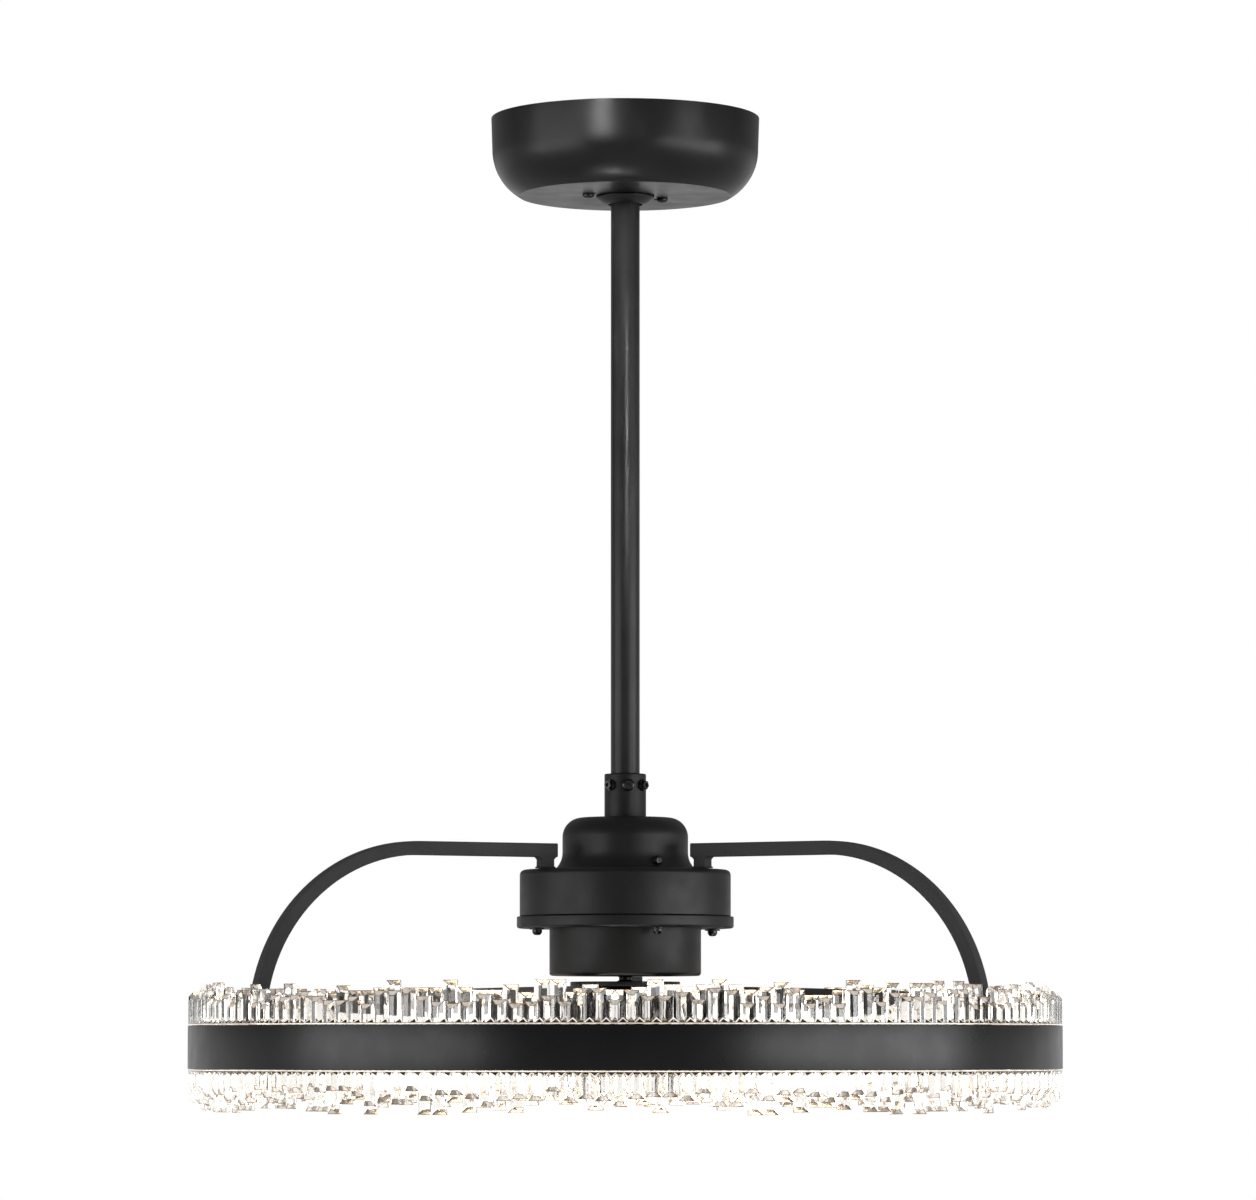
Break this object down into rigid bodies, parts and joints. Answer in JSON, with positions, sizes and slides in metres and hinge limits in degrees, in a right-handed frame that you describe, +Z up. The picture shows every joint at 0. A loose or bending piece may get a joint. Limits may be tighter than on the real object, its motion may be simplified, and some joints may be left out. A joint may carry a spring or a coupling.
{
  "type": "chandelier ceiling fan",
  "caption": "Black downrod ceiling fan inside a lit ring with clear crystal crowns above and below, carried by swept arms.",
  "frame": {"origin": "centre of the ceiling bracket's top face, on the ceiling", "axes": "+Z up to the ceiling, -Y towards the picture's viewer, +X to the viewer's right"},
  "size_m": [0.5712, 0.5712, 0.6536],
  "materials": {
    "bracket_steel": "zinc plated",
    "black_metal": "matte black powder coat",
    "black_plastic": "matte black",
    "control_casing": "moulded",
    "motor_steel": "ground",
    "copper_winding": "enamelled wire",
    "magnet": "sintered",
    "led_strip": "lit board",
    "crystal": "clear faceted"
  },
  "bodies": {
    "root": {"ceiling_bracket": "bracket_steel", "canopy": "black_metal", "canopy_collar": "black_plastic", "canopy_screw_1": "black_metal", "canopy_screw_2": "black_metal", "remote_receiver": "control_casing"},
    "ball": {"hanger_ball": "bracket_steel"},
    "fixture": {"hanger_pin": "bracket_steel", "pin_clip": "bracket_steel", "downrod": "black_metal", "rod_coupling": "black_metal", "coupling_pin": "black_metal", "coupling_screw_left": "black_metal", "coupling_screw_right": "black_metal", "coupling_dome": "black_metal", "dome_screw_1": "black_metal", "dome_screw_2": "black_metal", "motor_housing": "black_metal", "motor_cover": "black_metal", "cover_screw_1": "black_metal", "cover_screw_2": "black_metal", "cover_screw_3": "black_metal", "cover_screw_4": "black_metal", "motor_cup": "black_metal", "arm_1": "black_metal", "arm_2": "black_metal", "arm_3": "black_metal", "ring_channel": "black_metal", "outer_band": "black_metal", "light_driver": "control_casing", "bearing_upper": "motor_steel", "bearing_lower": "motor_steel", "bearing_plate": "motor_steel", "stator_core": "motor_steel", "arm_screw_1": "motor_steel", "arm_screw_2": "motor_steel", "arm_screw_3": "motor_steel", "stator_winding": "copper_winding", "led_strip_upper": "led_strip", "led_strip_lower": "led_strip", "crystal_upper_1": "crystal", "crystal_upper_2": "crystal", "crystal_upper_3": "crystal", "crystal_upper_4": "crystal", "crystal_upper_5": "crystal", "crystal_upper_6": "crystal", "crystal_lower_1": "crystal", "crystal_lower_2": "crystal", "crystal_lower_3": "crystal", "crystal_lower_4": "crystal", "crystal_lower_5": "crystal", "crystal_lower_6": "crystal"},
    "rotor": {"motor_shaft": "motor_steel", "rotor_magnet": "magnet", "blade_hub": "black_metal", "blade_1": "black_plastic", "blade_2": "black_plastic", "blade_3": "black_plastic", "blade_4": "black_plastic", "hub_cap": "black_plastic"}
  },
  "joints": [
    {"name": "ball_tilt", "type": "hinge", "parent": "root", "child": "ball", "pos_m": [0, 0, -0.0277], "axis": [0, 1, 0], "range_deg": [-2, 2]},
    {"name": "rod_tilt", "type": "hinge", "parent": "ball", "child": "fixture", "pos_m": [0, 0, -0.0277], "axis": [1, 0, 0], "range_deg": [-2, 2]},
    {"name": "blade_spin", "type": "hinge", "parent": "fixture", "child": "rotor", "pos_m": [0, 0, -0.5697], "axis": [0, 0, 1], "continuous": true}
  ]
}
